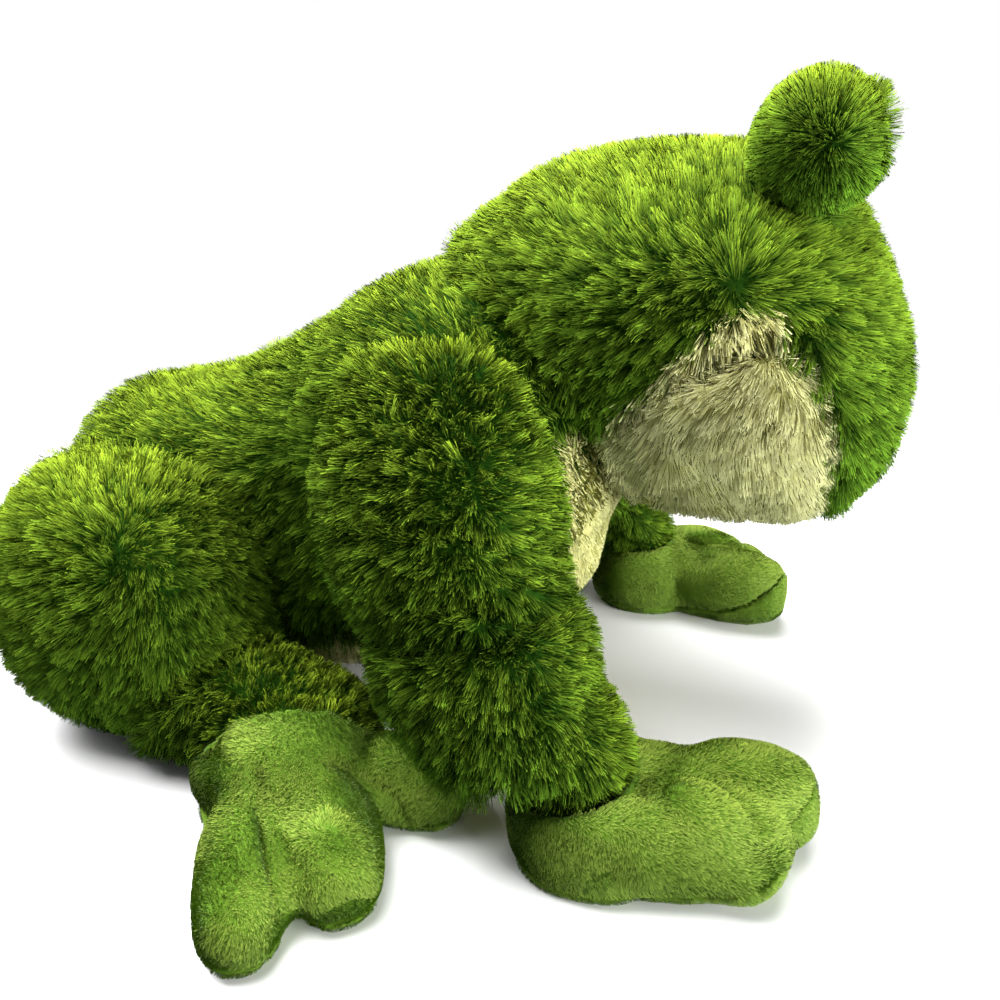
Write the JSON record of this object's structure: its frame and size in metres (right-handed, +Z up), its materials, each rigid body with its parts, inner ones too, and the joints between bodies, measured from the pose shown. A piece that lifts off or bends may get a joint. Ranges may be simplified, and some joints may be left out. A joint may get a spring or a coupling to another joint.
{
  "type": "plush frog",
  "caption": "Soft plush frog sitting with raised head, round eye bulges, cream jaw and belly, straight furry arms, folded hind legs and short-pile toed feet; head and limbs flex at their seams.",
  "frame": {"origin": "on the ground under the middle of the frog's box", "axes": "+Z up, +X from rump to nose, +Y to the frog's left"},
  "size_m": [0.354, 0.3684, 0.2535],
  "materials": {
    "green_fur": "long pile plush, matte",
    "green_short_pile": "short pile plush with a soft sheen",
    "cream_fur": "long pile plush, matte",
    "cream_short_pile": "short pile plush, matte",
    "polyester_stuffing": "loose fibre, matte",
    "eye_plastic": "polished",
    "washer_plastic": "as moulded"
  },
  "bodies": {
    "body": {"back_panel": "green_fur", "belly_panel": "cream_short_pile", "body_stuffing": "polyester_stuffing"},
    "head": {"head": "green_fur", "jaw": "cream_fur", "head_stuffing": "polyester_stuffing", "eye_bulge_right": "green_fur", "eye_right": "eye_plastic", "eye_washer_right": "washer_plastic", "eye_bulge_left": "green_fur", "eye_left": "eye_plastic", "eye_washer_left": "washer_plastic"},
    "arm_right": {"arm_right": "green_fur"},
    "front_foot_right": {"front_foot_right": "green_short_pile", "front_sole_right": "green_short_pile"},
    "leg_right": {"haunch_right": "green_fur", "lower_leg_right": "green_fur"},
    "hind_foot_right": {"hind_foot_right": "green_short_pile", "hind_sole_right": "green_short_pile"},
    "arm_left": {"arm_left": "green_fur"},
    "front_foot_left": {"front_foot_left": "green_short_pile", "front_sole_left": "green_short_pile"},
    "leg_left": {"haunch_left": "green_fur", "lower_leg_left": "green_fur"},
    "hind_foot_left": {"hind_foot_left": "green_short_pile", "hind_sole_left": "green_short_pile"}
  },
  "joints": [
    {"name": "neck_nod", "type": "hinge", "parent": "body", "child": "head", "pos_m": [0.011, 0, 0.123], "axis": [0, 1, 0], "range_deg": [-10, 8], "stiffness_Nm_per_rad": 8},
    {"name": "shoulder_right", "type": "hinge", "parent": "body", "child": "arm_right", "pos_m": [0.011, -0.068, 0.123], "axis": [0, -1, 0], "range_deg": [-2, 25], "stiffness_Nm_per_rad": 6},
    {"name": "wrist_right", "type": "hinge", "parent": "arm_right", "child": "front_foot_right", "pos_m": [0.072, -0.1, 0.044], "axis": [0, -1, 0], "range_deg": [-8, 8], "stiffness_Nm_per_rad": 1.5},
    {"name": "hip_right", "type": "hinge", "parent": "body", "child": "leg_right", "pos_m": [-0.115, -0.064, 0.062], "axis": [0, -1, 0], "range_deg": [-20, 1], "stiffness_Nm_per_rad": 5},
    {"name": "ankle_right", "type": "hinge", "parent": "leg_right", "child": "hind_foot_right", "pos_m": [-0.002, -0.0865, 0.0225], "axis": [-0.9987, 0, 0.0518], "range_deg": [-10, 15], "stiffness_Nm_per_rad": 1.5},
    {"name": "shoulder_left", "type": "hinge", "parent": "body", "child": "arm_left", "pos_m": [0.011, 0.068, 0.123], "axis": [0, -1, 0], "range_deg": [-2, 25], "stiffness_Nm_per_rad": 6},
    {"name": "wrist_left", "type": "hinge", "parent": "arm_left", "child": "front_foot_left", "pos_m": [0.072, 0.1, 0.044], "axis": [0, -1, 0], "range_deg": [-8, 8], "stiffness_Nm_per_rad": 1.5},
    {"name": "hip_left", "type": "hinge", "parent": "body", "child": "leg_left", "pos_m": [-0.115, 0.064, 0.062], "axis": [0, -1, 0], "range_deg": [-20, 1], "stiffness_Nm_per_rad": 5},
    {"name": "ankle_left", "type": "hinge", "parent": "leg_left", "child": "hind_foot_left", "pos_m": [-0.002, 0.0865, 0.0225], "axis": [0.9987, 0, -0.0518], "range_deg": [-10, 15], "stiffness_Nm_per_rad": 1.5}
  ]
}
